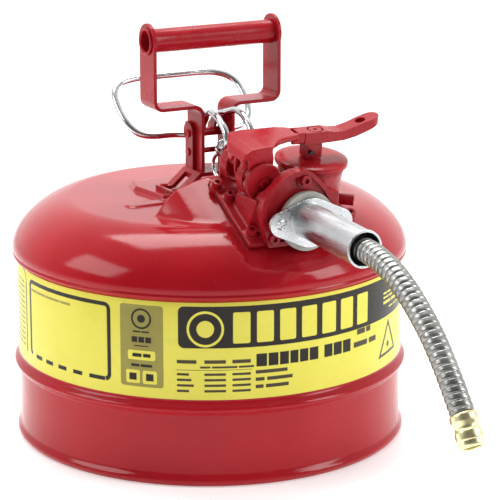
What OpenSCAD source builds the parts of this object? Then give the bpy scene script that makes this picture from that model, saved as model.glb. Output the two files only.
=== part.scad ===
// Safety gas can: a sheet-steel tank with a carrying handle, a squeeze trigger that opens
// two sprung valves, a sprung fill cap, and a flexible metal pouring hose.
// Millimetres. The origin is on the tank's axis at the floor. +Z is up, +X is the pouring
// direction and +Y runs along the handle towards the tip of the fill cap's lever.

/* [Tank] */
// Radius of the tank's plain wall
tank_r = 145; // [144.5:0.5:145]
// Radius of the rolled beads that guard the wall
bead_r = 149; // [148.5:0.5:149]
// Sheet thickness
sheet = 1; // [0.9:0.1:1.2]

/* [Label] */
// Lower edge of the label
label_z0 = 65; // [65:0.5:66]
// Upper edge of the label
label_z1 = 136.5; // [136:0.5:136.5]

/* [Handle] */
// Height of the grip's axis
grip_z = 300; // [298:1:304]
// Outside diameter of the grip tube
grip_d = 17.5; // [17:0.5:18]
// Distance over the two upper straps
grip_span = 106; // [102:1:108]
// Width of the straps
strap_w = 24; // [23:0.5:25]

/* [Trigger] */
// Diameter of the trigger's wire
wire_d = 5; // [4.6:0.1:5]
// Half width of the trigger's loop
loop_half = 56.7; // [55.7:0.5:57.7]

/* [Fill cap] */
// Radius of the fill cap
cap_r = 27; // [27:0.5:28]
// Radius of the padlock hole in the lever's tip
lock_r = 3.8; // [3.2:0.1:4]

/* [Outlet] */
// Outside diameter of the hose's zinc barrel
barrel_d = 26; // [25.6:0.2:26.4]
// Length of the barrel
barrel_len = 78; // [76:1:80]
// Outside diameter of the hose
hose_d = 17; // [16.5:0.5:17]

/* [Hidden] */
$fn = 64;
fit = 0.05;                     // radial running clearance of a hinge or a sliding stem
seam_z = 145;                   // joint of the wall and the dome
mid_y = 4;                      // the handle's middle plane

// Handle
strap_t = 2.6;
head_r = 13.2;                  // round head of a strap
root_half = 14;                 // outer face of the lower straps, from the middle plane
step_z = 251;                   // top of the straps' level steps
low_z = 200.6;                  // lower end of the straps
bend_r = 8;
strap_x = -4.4;
pivot = [-8.6, 227];             // trigger's pivot rod, X and Z
lower = [-9, 212.8];            // lower cross rod, X and Z
rod_r = 2;
ear_t = 3;
pad_z = 185.5;

// Trigger: points of an arm (X, Z) and of the loop (X, Y from the middle, Z above the pivot)
wire_r = wire_d / 2;
arm_y = [mid_y - 8.3, mid_y + 8.3];   // arms between the straps
valve_y = [-8.5, 12.5];                // hooks, links and valves
hook_z = 224.6;                 // where the links' eyes hang
hook_x = 40.5;
arm_line = [[36.2, 225.6], [hook_x, hook_z], [44.4, 226.6], [46, 231.2], [42.8, 237.4], [36.6, 242.4],
    [28, 246.3], [18.4, 247.2], [7, 244.4], [-6, 240.4], [-13.5, 234.6], [-19.5, 228], [-26, 222.4]];
near_line = [[-31.5, -14, -5.2], [-33, -22, -5], [-33, -34, -4.8], [-35.2, -43.8, -3],
    [-40.4, -49.4, 1.7], [-48, -52.6, 9], [-57.2, -53.2, 17.4], [-64, -51.9, 23.8], [-69, -47.4, 28.4],
    [-72, -39.5, 31.2], [-73.3, -26, 32.5], [-73.5, -10, 32.6]];
far_line = [[-73.5, 10, 32.6], [-73.3, 26, 32.5], [-72.2, 38.1, 31.5], [-69.4, 47.1, 28.8], [-64.3, 52.6, 24],
    [-56, 54.4, 16.6], [-47, 53.6, 8.2], [-39.4, 49.4, 1], [-34.6, 41, -3.4], [-33, 30, -4.8],
    [-33, 21, -5], [-31.5, 14, -5.2]];

// Valves
stem_x = 38;
stem_r = 2.5;
pin_z = 199.4;
seat_z = 142;
roof_z = 156;
gland_z = 181.8;
link_r = 1.4;
eye_r = 5.4;
link_line = [[38.5, 219.8], [33.5, 219.4], [27.5, 216.8], [23.4, 211.5], [24.4, 205], [29.4, 200.8],
    [34.2, 198.6], [38, 196.92]];

// Sloping platform under the manifold: it falls towards +X
slope_x = 65;
slope_z = 199.5;
slope_run = 0.552;
slope_angle = atan(slope_run);
platform_y = 8;
plate_t = 4;
duct = [98, 2, 12];             // X, Y and radius of the pouring duct's upright
plate_bolts = [[13.5, -24.5], [53, -25], [48, 58], [-2.5, 14], [0.5, -29]];

// Fill neck and the cap's hinge, in the tilted frame of module in_fill()
hinge_at = [88, -14, 217.3];
fill_tilt = 9;
cap_at = [-8.6, 57];
lever_at = [-6.2, 56.6];          // rivet of the lever
neck_r = 24;
neck_bore = 18;
rim_z = -2.65;
hinge_r = 3;

// Outlet
out_y = 10;
out_z = 188.5;
face_x = 119;
flange_t = 8;
disc_x = 131;
barrel_x = 135;
barrel_tilt = 2.6;
screw_reach = 24.3;
screw_roll = 3;
outlet_bolts_at = [[11.4, 215.4], [-14, 175.8], [37, 175.8]];
barrel_screws_at = [for (s = [-1, 1])
    [out_y + 2.6 + s * screw_reach * cos(screw_roll), out_z - 2.4 - s * screw_reach * sin(screw_roll)]];
flange_line = [[-17.6, 169.6], [-19.4, 176], [-22.4, 188], [-23.4, 198], [-21, 205.2], [-16.4, 210.8],
    [-9.8, 216.2], [-2.4, 220], [4.2, 222], [10.5, 222.6], [17.6, 220.6], [23.4, 215.2], [30, 208],
    [38.2, 193.6], [43, 184], [45.4, 175], [45.4, 169.6]];
hose_route = [
    [161, 10, 187.3], [173, 10, 186.8], [186, 10, 186.2], [200, 10, 185.6], [214, 10, 184.8],
    [228, 10, 183.2], [241, 10, 180.2], [252, 10, 176.6], [262, 10, 172], [272, 10, 166.4],
    [282, 10, 159.9], [292, 10, 152.6], [301, 10, 145.2], [309, 10, 137.6], [317, 10, 129],
    [324.2, 10, 120.8], [331, 10, 112.6], [337.4, 10, 104.6]];
nozzle_dip = 51;

RED = [0.76, 0.07, 0.1];
ZINC = [0.78, 0.8, 0.81];
DARK = [0.15, 0.14, 0.13];
BRASS = [0.85, 0.75, 0.4];

// Height of the dome's outer face at radius r
function dome_z(r) = seam_z + 35.6 * pow(max(0, 1 - pow(max(0, (r - 105) / 44), 1.65)), 1 / 1.65)
    + 1.6 * (1 - pow(r / 149, 2));
// Points of the dome's profile, closer together at the shoulder; drop moves them inwards
function dome_points(drop) = [for (i = [0 : 22])
    let (r = i < 7 ? i * 15 : 105 + 44 * sin((i - 6) * 5.625))
    [max(0, r - drop * pow(r / 149, 4)), dome_z(r) - drop * (1 - 0.9 * pow(r / 149, 12))]];
function slope_at(x) = slope_z - slope_run * (x - slope_x);
// Smooth bump of height h and half width w round zc, for rolled beads
function bump(z, zc, w, h) = abs(z - zc) < w ? h * (1 + cos(180 * (z - zc) / w)) / 2 : 0;
function wall_r(z) = tank_r + bump(z, 58, 6, bead_r - tank_r) + bump(z, 4, 7, 2.5);

// Smooth curve through the points p, with n steps to each span
function curve(p, n) = concat([for (i = [0 : len(p) - 2], k = [0 : n - 1])
    let (t = k / n, a = p[max(0, i - 1)], b = p[i], c = p[i + 1], d = p[min(len(p) - 1, i + 2)])
    0.5 * (2 * b + (c - a) * t + (2 * a - 5 * b + 4 * c - d) * t * t
        + (3 * b - a - 3 * c + d) * t * t * t)], [p[len(p) - 1]]);
function unit(v) = v / norm(v);
function tangents(p) = [for (i = [0 : len(p) - 1]) unit(p[min(len(p) - 1, i + 1)] - p[max(0, i - 1)])];
// Side vectors carried along the tangents t without twist, from the side vector u
function carried(t, u, i = 0) = i == len(t) ? [] :
    let (v = unit(u - (u * t[i]) * t[i])) concat([v], carried(t, v, i + 1));
// Round wire along the points p; u is any direction across its first piece
module wire(p, r, sides, u) {
    n = len(p);
    t = tangents(p);
    s = carried(t, u);
    pts = [for (i = [0 : n - 1], k = [0 : sides - 1])
        p[i] + r * (cos(k * 360 / sides) * s[i] + sin(k * 360 / sides) * cross(t[i], s[i]))];
    walls = [for (i = [0 : n - 2], k = [0 : sides - 1])
        [i * sides + k, (i + 1) * sides + k, (i + 1) * sides + (k + 1) % sides,
            i * sides + (k + 1) % sides]];
    first = [for (k = [0 : sides - 1]) k];
    last = [for (k = [sides - 1 : -1 : 0]) (n - 1) * sides + k];
    polyhedron(pts, concat(walls, [first], [last]), convexity = 8);
}

module rod_y(r, y0, y1) {
    translate([0, y0, 0]) rotate([-90, 0, 0]) cylinder(r = r, h = y1 - y0);
}
module rod_x(r, x0, x1) {
    translate([x0, 0, 0]) rotate([0, 90, 0]) cylinder(r = r, h = x1 - x0);
}
// Profile drawn in Y and Z, run along X from x0 to x1
module slab_x(points, x0, x1) {
    translate([x0, 0, 0]) rotate([90, 0, 90]) linear_extrude(height = x1 - x0) polygon(points);
}
// Profile drawn in X and Z, run along Y from y0 to y1
module slab_y(points, y0, y1) {
    translate([0, y1, 0]) rotate([90, 0, 0]) linear_extrude(height = y1 - y0) polygon(points);
}
module both_sides() {
    children();
    translate([0, 2 * mid_y, 0]) mirror([0, 1, 0]) children();
}
module in_fill() { translate(hinge_at) rotate([0, fill_tilt, 0]) children(); }
module on_slope() { translate([slope_x, 0, slope_z]) rotate([0, slope_angle, 0]) children(); }
module in_barrel() { translate([barrel_x, out_y, out_z]) rotate([0, barrel_tilt, 0]) children(); }

// ---- Tank -------------------------------------------------------------------------
module body_shell() color(RED) rotate_extrude($fn = 128) {
    zs = concat([for (i = [0 : 22]) i * 0.5], [30, 51.5], [for (i = [0 : 24]) 52 + i * 0.5]);
    outer = concat([for (z = zs) [wall_r(z), z]],
        [[tank_r, 136.8], [tank_r + 1, 138], [bead_r - sheet - 0.1, 139.5], [bead_r - sheet - 0.1, 144]]);
    polygon(concat(outer, [for (i = [len(outer) - 1 : -1 : 0]) [outer[i][0] - sheet, outer[i][1]]]));
}
module bottom_plate() color(RED) rotate_extrude($fn = 128)
    polygon([[0, 9], [134, 7.6], [139.5, 4.5], [141, 1.2], [142.4, 0.5], [143.9, 0.5], [143.9, 9.5],
        [142.9, 9.5], [142.9, 1.6], [141.8, 2.2], [140.4, 5.4], [134.4, 8.7], [0, 10.1]]);

// Half of the platform's cross section: sideways reach and height over the sloping top
platform_half = [[37, 0], [49, -2.8], [61, -6.8], [70, -15.6], [74, -20], [75, -26], [75, -44]];
module platform_form(drop) {
    half = [for (p = platform_half) [p[0] - drop, p[1] - drop]];
    n = len(half);
    intersection() {
        on_slope() slab_x(concat([for (p = half) [platform_y + p[0], p[1]]],
            [for (i = [n - 1 : -1 : 0]) [platform_y - half[i][0], half[i][1]]]), -34, 60);
        translate([50 + drop, -100, 166]) cube([80, 220, 60]);
    }
}
// The dome, its platform and the pad under the handle; drop hollows the whole form
module dome_form(drop) {
    difference() {
        rotate_extrude($fn = 96) polygon(concat([[0, 120]], dome_points(drop), [[149 - drop, 120]]));
        translate([0, 0, -drop / cos(slope_angle)]) on_slope()
            translate([35, platform_y - 48 + drop, 0]) cube([80, 105 - 2 * drop, 60]);
    }
    platform_form(drop);
    k = 1 - drop / 28;
    translate([0, 0, 150]) linear_extrude(height = pad_z - 150 - drop)
        translate([-18, mid_y]) polygon(k * [[-33, -46], [-13, -52], [26, -47], [32, -40], [32, 40],
            [26, 47], [-13, 52], [-33, 46]]);
}
module top_shell() color(RED) difference() {
    union() {
        difference() {
            dome_form(0);
            dome_form(sheet);
            translate([0, 0, 100]) cylinder(r = 160, h = 45);
        }
        // skirt over the top of the wall
        rotate_extrude($fn = 128) polygon([[bead_r - sheet, 139], [bead_r - 0.5, 139], [bead_r, 139.8],
            [bead_r - 0.5, 141.5], [bead_r, 143], [149, 145.4], [bead_r - sheet, 145.4]]);
    }
    in_fill() translate([cap_at[0], cap_at[1], -80]) cylinder(r = neck_bore + 2.1, h = 75);
    translate([duct[0], duct[1], 120]) cylinder(r = duct[2] + 1, h = 90);
    for (y = valve_y) translate([stem_x, y, 150]) cylinder(r = 7.2, h = 60);
    for (y = [-18, 22]) translate([stem_x, y, 170]) cylinder(r = 1.6, h = 30);
    translate([stem_x - 8.3, -23.3, gland_z]) cube([16.6, 50.6, 3]);
}
module label_band() color([0.92, 0.87, 0.3]) rotate([0, 0, 182])
    rotate_extrude(angle = 356, $fn = 128) translate([tank_r + 0.05, label_z0])
        square([0.3, label_z1 - label_z0]);

// ---- Handle -----------------------------------------------------------------------
// The far strap, level step, two bends and the round head
module strap_form() {
    x0 = strap_x - strap_w / 2;
    y1 = mid_y + grip_span / 2;
    y0 = mid_y + root_half;
    b = bend_r;
    t = strap_t;
    difference() {
        union() {
            translate([x0, y1 - t, step_z - t + b]) cube([strap_w, t, grip_z - step_z + t - b]);
            translate([strap_x, 0, grip_z]) rod_y(head_r, y1 - t, y1);
            translate([x0, y1 - b, step_z - t + b]) rotate([90, 0, 90])
                rotate([0, 0, -90]) bend_form();
            translate([x0, y0 - t + b, step_z - t]) cube([strap_w, y1 - y0 + t - 2 * b, t]);
            translate([x0, y0 - t + b, step_z - b]) rotate([90, 0, 90]) rotate([0, 0, 90]) bend_form();
            translate([x0, y0 - t, low_z]) cube([strap_w, t, step_z - b - low_z]);
        }
        translate([strap_x, 0, grip_z]) rod_y(grip_d / 2 + 0.1, 0, 90);
        for (p = [pivot, lower]) translate([p[0], 0, p[1]]) rod_y(rod_r + 0.02, 0, 40);
    }
}
module bend_form() {
    rotate_extrude(angle = 90) translate([bend_r - strap_t, 0]) square([strap_t, strap_w]);
}
module strap_far() color(RED) strap_form();
module strap_near() color(RED) translate([0, 2 * mid_y, 0]) mirror([0, 1, 0]) strap_form();

module grip_tube() color(RED) translate([strap_x, mid_y, grip_z]) rotate([-90, 0, 0]) rotate_extrude() {
    e = grip_span / 2;
    r = grip_d / 2;
    polygon([[r, -e], [r + 1.2, -e], [r + 1.6, -e - 0.8], [r + 1.1, -e - 1.6], [r, -e - 1.8],
        [r - 1, -e - 0.6], [r - 1, e + 0.6], [r, e + 1.8], [r + 1.1, e + 1.6],
        [r + 1.6, e + 0.8], [r + 1.2, e], [r, e]]);
}

// Saddle that carries the straps: level top, sloping feet and two ears
module handle_bracket() color(RED) difference() {
    x0 = strap_x - strap_w / 2;
    x1 = x0 + 28;
    half = [[17, 200.5], [31, 188.6], [41, 188.6], [41, pad_z + 0.1], [29.6, pad_z + 0.1], [15.8, 197.5]];
    union() {
        slab_x([for (p = half) [mid_y + p[0], p[1]],
            for (i = [5 : -1 : 0]) [mid_y - half[i][0], half[i][1]]],
            x0, x1);
        both_sides() ear();
    }
    both_sides() translate([-8.6, mid_y + 19.5, 180]) cube([11, 19, 30]);
    for (p = [pivot, lower]) translate([p[0], 0, p[1]]) rod_y(rod_r + 0.02, -40, 40);
}
module ear() {
    x0 = strap_x - strap_w / 2;
    translate([0, mid_y + root_half, 0]) {
        translate([x0 + 2.4, 0, 200]) cube([12, ear_t, 28]);
        translate([x0 + 2.4, 0, 227]) cube([5, ear_t, 8.4]);
        translate([x0 + 7, 0, 228]) rod_y(7.4, 0, ear_t);
    }
}
// Rod through the ears and straps, with a formed head at each end
module cross_form(p) {
    e = root_half + ear_t;
    translate([p[0], mid_y, p[1]]) {
        rod_y(rod_r, -e - 0.2, e + 0.2);
        rod_y(2.9, -e - 1.2, -e);
        rod_y(2.9, e, e + 1.2);
    }
}
module cross_rod() color(RED) cross_form(lower);
module pivot_rod() color(RED) cross_form(pivot);
module foot_rivets() color(RED) both_sides() for (x = [-12.5, 7.2])
    translate([x, mid_y + 36, pad_z + 3.1]) cylinder(r1 = 3.4, r2 = 2.2, h = 1.4);

// ---- Trigger ----------------------------------------------------------------------
// Sideways place of arm k at x: between the straps, then spread to the valves
function splay(x, k) = arm_y[k] + (valve_y[k] - arm_y[k]) * min(1, max(0, (x - 6) / 16));
// One wire: hook, arm, half loop, crossbar, half loop, arm, hook
module trigger_wire() color(ZINC) {
    n = len(arm_line);
    full = concat([for (p = arm_line) [p[0], splay(p[0], 0), p[1]]],
        [for (p = concat(near_line, far_line)) [p[0], mid_y + p[1] * loop_half / 56.7, pivot[1] + p[2]]],
        [for (i = [n - 1 : -1 : 0]) [arm_line[i][0], splay(arm_line[i][0], 1), arm_line[i][1]]]);
    wire(curve(full, 4), wire_r, 12, [0, 1, 0]);
}
// Sleeve on the pivot with a web welded beside each arm
module trigger_sleeve() color(RED) difference() {
    union() {
        translate([pivot[0], mid_y, pivot[1]]) rod_y(3.2, -11.1, 11.1);
        both_sides() slab_y([[-10.4, 224.6], [-18, 227.6], [-16, 232.4], [-8.4, 239.6], [0, 242.6],
            [-1.5, 237.6], [-6, 232], [-6.4, 225]], mid_y + 3.4, mid_y + 5.4);
    }
    translate([pivot[0], mid_y, pivot[1]]) rod_y(rod_r + fit, -20, 20);
}

// ---- Manifold ---------------------------------------------------------------------
module plate_outline(h) {
    translate([-8, -31, 0]) cube([72, 89, h]);
}
module manifold_body() color(RED) difference() {
    union() {
        on_slope() translate([0, 0, 0.6]) plate_outline(plate_t);
        for (p = plate_bolts) on_slope() translate([p[0], p[1], 0.6]) cylinder(r = 5, h = plate_t + 1.2);
        // chamber
        difference() {
            union() {
                translate([78, -13, 168]) cube([face_x - 78, 46, 35]);
                translate([89, -24, 168]) cube([face_x - 89, 68, 35]);
                for (y = [-13, 33]) translate([89, y, 168]) cylinder(r = 11, h = 35);
                slab_x(flange_line, 113.6, face_x);
                in_fill() translate([cap_at[0], cap_at[1], 0]) {
                    translate([0, 0, -38]) cylinder(r1 = neck_r - 3, r2 = neck_r, h = 32);
                    translate([0, 0, -8]) cylinder(r = neck_r - 0.6, h = 8 + rim_z);
                }
            }
            on_slope() translate([-60, -80, -60.7 + 1.4]) cube([160, 200, 60]);
            for (i = [0 : 2]) on_slope() translate([plate_bolts[i][0], plate_bolts[i][1], 1])
                cylinder(r = 6.4, h = 60);
            translate([face_x, -60, 150]) cube([30, 160, 90]);
            in_fill() rod_x(14.9, 4, 20.4);
        }
        in_fill() {
            translate([cap_at[0], cap_at[1], -50]) cylinder(r = neck_bore + 2, h = 24);
            front_cheek();
            rear_cheek();
        }
    }
    in_fill() {
        translate([cap_at[0], cap_at[1], -60]) cylinder(r = neck_bore, h = 70);
        rod_x(hinge_r + 0.02, -40, 40);
        rod_x(6, 24.6, 30);
    }
    translate([duct[0], duct[1], 140]) cylinder(r = duct[2] + 0.05, h = 45);
    translate([0, out_y, out_z]) rod_x(13, 91, 130);
    for (p = plate_bolts) on_slope() translate([p[0], p[1], -5]) cylinder(r = 2.05, h = 20);
    for (p = outlet_bolts_at) translate([0, p[0], p[1]]) rod_x(2.05, face_x - 5, 130);
}
module front_cheek() {
    rod_x(14.4, 21.6, 24.6);
    slab_x([[-13.6, -4], [-4, -14], [-4, -22], [14, -22], [13.6, -4]], 21.6, 24.6);
}
module rear_cheek() {
    rod_x(8, -29, -26);
    slab_x([[-8, 0], [-8, -15.6], [8, -15.6], [8, 0]], -29, -26);
}
module manifold_gasket() color(DARK) difference() {
    on_slope() translate([0, 0, 0.05]) plate_outline(0.5);
    translate([duct[0], duct[1], 140]) cylinder(r = duct[2] + 0.5, h = 60);
    in_fill() translate([cap_at[0], cap_at[1], -60]) cylinder(r = neck_bore + 2.1, h = 70);
    for (p = plate_bolts) on_slope() translate([p[0], p[1], -5]) cylinder(r = 2.2, h = 20);
}
// Socket-head bolt standing on z = 0, shank downwards
module socket_bolt(r, len) {
    difference() {
        union() {
            translate([0, 0, -len]) cylinder(r = r, h = len);
            cylinder(r = r * 1.9, h = r * 1.9);
        }
        translate([0, 0, r * 0.7]) cylinder(r = r, h = 9, $fn = 6);
    }
}
module manifold_bolts() color(RED)
    for (p = plate_bolts) on_slope() translate([p[0], p[1], plate_t + 1.82]) socket_bolt(2, 5);

module outlet_flange() color(RED) difference() {
    c = [10, 194];
    union() {
        slab_x(flange_line, face_x + 0.5, face_x + 5.5);
        difference() {
            slab_x(flange_line, face_x + 0.5, face_x + flange_t);
            slab_x([for (p = flange_line) c + 0.87 * (p - c)], face_x + 4, face_x + 12);
        }
        for (p = outlet_bolts_at) translate([0, p[0], p[1]]) rod_x(5.6, face_x + 0.5, face_x + 7);
        translate([0, out_y, out_z]) rod_x(19, face_x + 0.5, face_x + flange_t);
        for (p = barrel_screws_at) translate([0, p[0], p[1]]) rod_x(5.4, face_x + 0.5, face_x + flange_t);
    }
    translate([0, out_y, out_z]) rod_x(12.9, face_x - 1, face_x + 20);
    for (p = outlet_bolts_at) translate([0, p[0], p[1]]) {
        rod_x(2.05, face_x - 1, face_x + 20);
        rod_x(4.1, face_x + 7, face_x + 20);
    }
    for (p = barrel_screws_at) translate([0, p[0], p[1]]) rod_x(2.05, face_x - 1, face_x + 20);
    on_slope() translate([-60, -80, -60]) cube([124.2, 200, 60 + 0.6 + plate_t + 0.1]);
    on_slope() for (p = [plate_bolts[1], plate_bolts[2]])
        translate([p[0], p[1], 0]) cylinder(r = 5.4, h = 14);
}
module outlet_bolts() color(RED) for (p = outlet_bolts_at)
    translate([face_x + 7.02, p[0], p[1]]) rotate([0, 90, 0]) socket_bolt(2, 11);
module outlet_spacer() color([0.66, 0.66, 0.6]) difference() {
    translate([0, out_y + 1.6, out_z - 1.8]) rod_x(21.4, face_x + flange_t + 0.05, disc_x + 0.9);
    translate([0, out_y, out_z]) rod_x(12.9, 100, 150);
    for (p = barrel_screws_at) translate([0, p[0], p[1]]) rod_x(3.2, 100, 150);
}

// ---- Hose -------------------------------------------------------------------------
module barrel() color(ZINC) difference() {
    union() {
        translate([barrel_x - 3, out_y + 2.6, out_z - 2.4]) rotate([0, 90, 0]) hull() {
            cylinder(r = 18, h = 3, $fn = 32);
            for (s = [-1, 1])
                translate([s * screw_reach * sin(screw_roll), s * screw_reach * cos(screw_roll), 0])
                    cylinder(r = 9, h = 3, $fn = 32);
        }
        in_barrel() {
            rod_x(barrel_d / 2, -2, barrel_len);
            rod_x(barrel_d / 2 + 0.6, barrel_len - 3, barrel_len);
        }
    }
    in_barrel() rod_x(barrel_d / 2 - 1.2, -12, barrel_len + 1);
    for (p = barrel_screws_at) translate([0, p[0], p[1]]) rod_x(2.05, 100, 150);
}
module barrel_screws() color(ZINC)
    for (p = barrel_screws_at) translate([barrel_x, p[0], p[1]]) difference() {
    union() {
        rod_x(2, -14, 0.5);
        rotate([0, 90, 0]) translate([0, 0, 0.02]) cylinder(r1 = 4.2, r2 = 2.8, h = 2.4);
    }
    for (a = [20, 110]) rotate([a, 0, 0]) translate([1.2, -0.5, -2.4]) cube([3, 1, 4.8]);
}
module hose_ferrule() color(ZINC) in_barrel() difference() {
    rod_x(barrel_d / 2 - 1.25, 28, 36);
    rod_x(hose_d / 2 + 0.15, 20, 50);
}
module hose() color([0.7, 0.71, 0.72]) wire(hose_route, hose_d / 2, 16, [0, 1, 0]);
module nozzle_tip() color(BRASS)
    translate(hose_route[len(hose_route) - 1]) rotate([0, 90 + nozzle_dip, 0])
    rotate_extrude() polygon([[0, 0.3], [8.8, 0.3], [9.5, 2], [9.5, 6], [8.6, 8.6], [8.1, 10], [8.6, 12],
        [9.3, 14], [9.3, 18.6], [8.6, 22], [7.4, 23.6], [6.4, 23.6], [6.4, 6], [0, 6]]);

// ---- Fill cap and its hinge ---------------------------------------------------------
module hinge_pin() color(RED) in_fill() {
    rod_x(hinge_r, -29.2, 24.8);
    rod_x(4.6, -31, -29.05);
    difference() {
        rod_x(4, 24.65, 26.4);
        rod_x(1.6, 25.2, 28);
    }
}
// Close-wound coil of a torsion spring, drawn as a grooved ring
module coil_form(x0, turns, w, r) {
    rotate([0, 90, 0]) rotate_extrude() polygon(concat(
        [for (i = [0 : turns - 1], k = [0 : 5])
            [r - w / 2 + w / 2 * sin(k * 36), x0 + i * w + w / 2 - w / 2 * cos(k * 36)]],
        [[r - w, x0 + turns * w], [r - w, x0]]));
}
module rear_spring() color(RED) in_fill() coil_form(-19.8, 5, 2, 13);
module front_spring() color(RED) in_fill() coil_form(7, 5, 2.1, 14.4);
module hinge_bush() color(RED) in_fill() difference() {
    rod_x(5.5, -2.8, 17.6);
    rod_x(hinge_r + 0.1, -10, 20);
}
// Yoke: a pressed hood over the hinge that narrows to a fork round the lever's root
module cap_yoke() color(RED) in_fill() difference() {
    union() {
        rod_x(8.5, -6.4, -3.4);
        slab_x([[-8.5, 0], [-12.6, 9], [-14, 17], [-8, 23], [16, 23], [13, 14], [8.5, 0]], -6.4, -3.4);
        rod_x(8.5, 18.4, 21.4);
        slab_x([[-8.5, 0], [-11, 10], [-12.6, 17], [-8, 24], [2, 25], [7, 24.8], [9, 16], [8.5, 0]],
            18.4, 21.4);
        intersection() {
            slab_x([[-16.6, 10], [-16.6, 16.6], [-14.4, 21], [-8.6, 24.4], [2, 25.4], [16, 25], [38, 24.6],
                [38, 20.4], [16, 20.4], [9, 22.4], [-6.4, 22], [-12, 19.4], [-14, 16], [-14, 10]],
                -18, 21.4);
            linear_extrude(height = 50) polygon([[-18, -9], [-8, -14], [0, -20], [21.4, -20], [21.4, 7],
                [15, 12.6], [9, 18.6], [6, 26], [2.8, 38], [-15.2, 38], [-18, 30]]);
        }
        for (x = [lever_at[0] - 7, lever_at[0] + 4.7]) translate([x, 34, 16.4]) cube([2.3, 11, 8.2]);
    }
    // the hood's near side ends above the coils
    slab_y([[-20, 0], [-20, 21], [-3.4, 17.4], [-0.6, 11.6], [3.4, 10.4], [6, 15.4], [18, 15.6], [18, 0]],
        -30, -8.6);
    rod_x(hinge_r + fit, -40, 40);
}
// Lever: root between the fork's tines, a dip, and a raised tip with a hole for a padlock
module fill_lever() color(RED) in_fill() difference() {
    intersection() {
        slab_x([[40.6, 24.2], [64, 24.2], [70, 22.8], [77, 22.6], [86, 24.8], [94, 27.6], [109, 31.6],
            [109.4, 26], [98, 21], [88, 17.4], [78, 15.4], [40.6, 15.4]], -30, 20);
        translate([lever_at[0], 0, 0]) linear_extrude(height = 50) polygon(concat(
            [[4.65, 40.6], [4.65, 45.1], [7, 45.1], [7, 66], [6.2, 76], [6.4, 90], [6.8, 100]],
            [for (a = [0 : 15 : 180]) [6.8 * cos(a), 101.6 + 6.8 * sin(a)]],
            [[-6.8, 100], [-6.4, 90], [-6.2, 76], [-7, 66], [-7, 45.1], [-4.65, 45.1], [-4.65, 40.6]]));
    }
    translate([lever_at[0], 94, 10]) cylinder(r = lock_r, h = 40);
    translate([lever_at[0], lever_at[1], 10]) cylinder(r = 3.02, h = 40);
    translate([lever_at[0], lever_at[1], 22.8]) cylinder(r = 6, h = 5);
}
module lever_rivet() color(RED) in_fill() translate([lever_at[0], lever_at[1], 0]) difference() {
    union() {
        translate([0, 0, 12]) cylinder(r = 3, h = 11.6);
        translate([0, 0, 22.82]) cylinder(r = 4.9, h = 1.3);
    }
    translate([0, 0, 23]) cylinder(r = 1.6, h = 3);
}
module cap_stem() color(RED) in_fill() translate([lever_at[0], lever_at[1], 0]) difference() {
    union() {
        translate([0, -2.2, 3.3]) cylinder(r = 7.4, h = 2.2);
        translate([-5.5, -8.4, 4]) cube([11, 12.4, 11.35]);
    }
    translate([0, 0, 11.9]) cylinder(r = 3.02, h = 15);
    translate([0, -5.6, 9]) rod_x(1.22, -12, 12);
}
module stem_pin() color(DARK) in_fill() translate([lever_at[0], lever_at[1] - 5.6, 9]) {
    rod_x(1.2, -6.6, 8.4);
    rod_x(1.9, 7.4, 8.6);
}
module fill_cap() color(RED) in_fill() translate([cap_at[0], cap_at[1], 0]) rotate_extrude()
    polygon([[0, 3.25], [12, 3.1], [20, 2.8], [24, 2.2], [26.6, 1.2], [cap_r, 0.2],
        [cap_r, -1.8], [cap_r - 0.6, -2.7], [cap_r - 1.5, -2.7], [cap_r - 1.5, -0.8], [0, -0.8]]);
module cap_gasket() color(DARK) in_fill() translate([cap_at[0], cap_at[1], rim_z + 0.05]) difference() {
    cylinder(r = 25.3, h = 1.8);
    translate([0, 0, -1]) cylinder(r = 15, h = 5);
}
// Flame arrester in the neck: a hanging cup with rows of holes, its rim on a step
module fill_screen() color(ZINC) in_fill() translate([cap_at[0], cap_at[1], 0]) difference() {
    union() {
        translate([0, 0, -74]) cylinder(r = 15.4, h = 66);
        translate([0, 0, -9.2]) cylinder(r = neck_bore - 0.05, h = 1.2);
    }
    translate([0, 0, -73.2]) cylinder(r = 14.6, h = 80);
    for (z = [-62, -46, -30], a = [0, 60, 120])
        translate([0, 0, z]) rotate([0, 0, a + z]) rod_x(2, -20, 20);
}
module neck_plug() color(RED) in_fill() translate([cap_at[0], cap_at[1], -28]) rotate([0, 0, -36])
    difference() {
    rod_y(4.2, neck_r - 1.65, neck_r + 10);
    rod_y(2, neck_r + 7, neck_r + 14);
}

// ---- Valves -----------------------------------------------------------------------
module gland_plate() color(RED) difference() {
    translate([stem_x - 8, -23, gland_z]) cube([16, 50, 1.6]);
    for (y = valve_y) translate([stem_x, y, 150]) cylinder(r = stem_r + fit, h = 60);
    translate([stem_x, valve_y[1] + 4.4, 150]) cylinder(r = 0.9, h = 60);
    for (y = [-18, 22]) translate([stem_x, y, 150]) cylinder(r = 1.52, h = 60);
}
module gland_screws() color(ZINC) for (y = [-18, 22]) translate([stem_x, y, gland_z + 1.62]) difference() {
    union() {
        translate([0, 0, -7]) cylinder(r = 1.5, h = 7);
        cylinder(r1 = 3, r2 = 2, h = 1.6);
    }
    translate([-2, -0.35, 0.9]) cube([4, 0.7, 2]);
}
module housing_form(z0) {
    difference() {
        translate([0, 0, z0]) cylinder(r = 7, h = gland_z - 0.05 - z0);
        cylinder(r = stem_r + fit, h = 200);
        translate([0, 0, roof_z + 2]) cylinder(r = 5.6, h = 60);
        children();
    }
}
module pour_housing() color(RED) translate([stem_x, valve_y[0], 0]) housing_form(roof_z + 0.02);
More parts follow.
